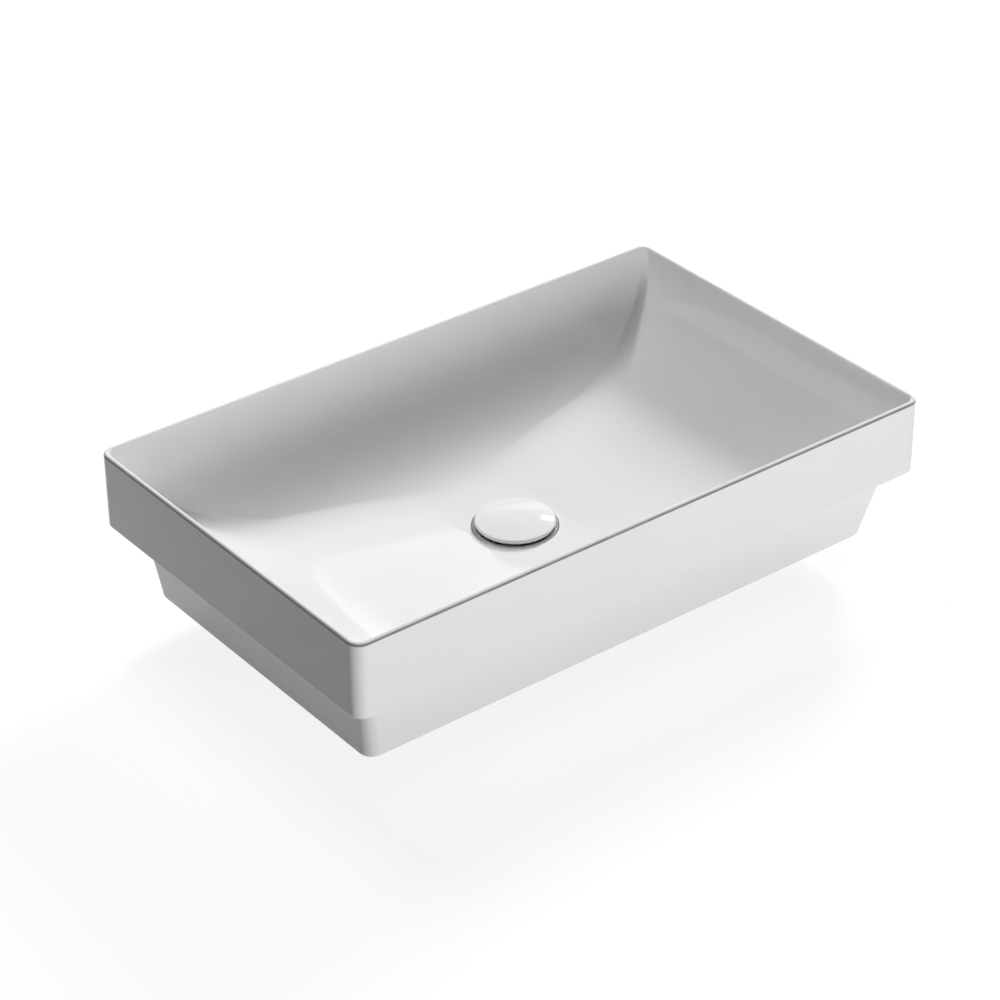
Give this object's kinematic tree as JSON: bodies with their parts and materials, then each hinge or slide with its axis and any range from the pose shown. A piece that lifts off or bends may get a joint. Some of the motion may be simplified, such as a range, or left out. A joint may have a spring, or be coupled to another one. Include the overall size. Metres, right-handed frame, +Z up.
{
  "type": "inset wash basin",
  "caption": "Rectangular inset wash basin of glazed fireclay with thin upright walls, a stepped-in lower body and a push-to-open waste under a glazed cap.",
  "frame": {"origin": "on the plane of the shoulder, where the basin rests on its counter, at the centre of the rim box, on the axis of the waste", "axes": "+X along the length, towards the right end; +Y towards the back; +Z up, along the waste's axis"},
  "size_m": [0.6, 0.37, 0.1726],
  "materials": {
    "glaze": "glossy white glaze",
    "chrome": "polished",
    "brass": "turned",
    "rubber": "moulded",
    "nylon": "moulded",
    "steel": "drawn and stamped"
  },
  "bodies": {
    "fixed": {"basin": "glaze", "waste_body": "chrome", "flange_seal": "rubber", "cone_washer": "rubber", "slip_washer": "nylon", "back_nut": "brass", "stem_seal": "rubber", "cartridge_collar": "brass", "cartridge_sleeve": "brass", "cartridge_spring": "steel", "cartridge_washer": "steel", "cartridge_nut": "brass"},
    "cap": {"cap_disc": "glaze", "cap_bond_pad": "nylon", "cap_carrier": "chrome", "cap_seal": "rubber", "cap_lock_nut": "brass", "plunger": "brass", "thrust_washer": "steel"},
    "rotor": {"index_rotor": "nylon"}
  },
  "joints": [
    {"name": "cap_lift", "type": "slide", "parent": "fixed", "child": "cap", "axis": [0, 0, 1], "range_m": [0, 0.008], "deforming": ["cartridge_spring"]},
    {"name": "index_turn", "type": "hinge", "parent": "cap", "child": "rotor", "pos_m": [0, 0, -0.057], "axis": [0, 0, 1], "continuous": true}
  ]
}
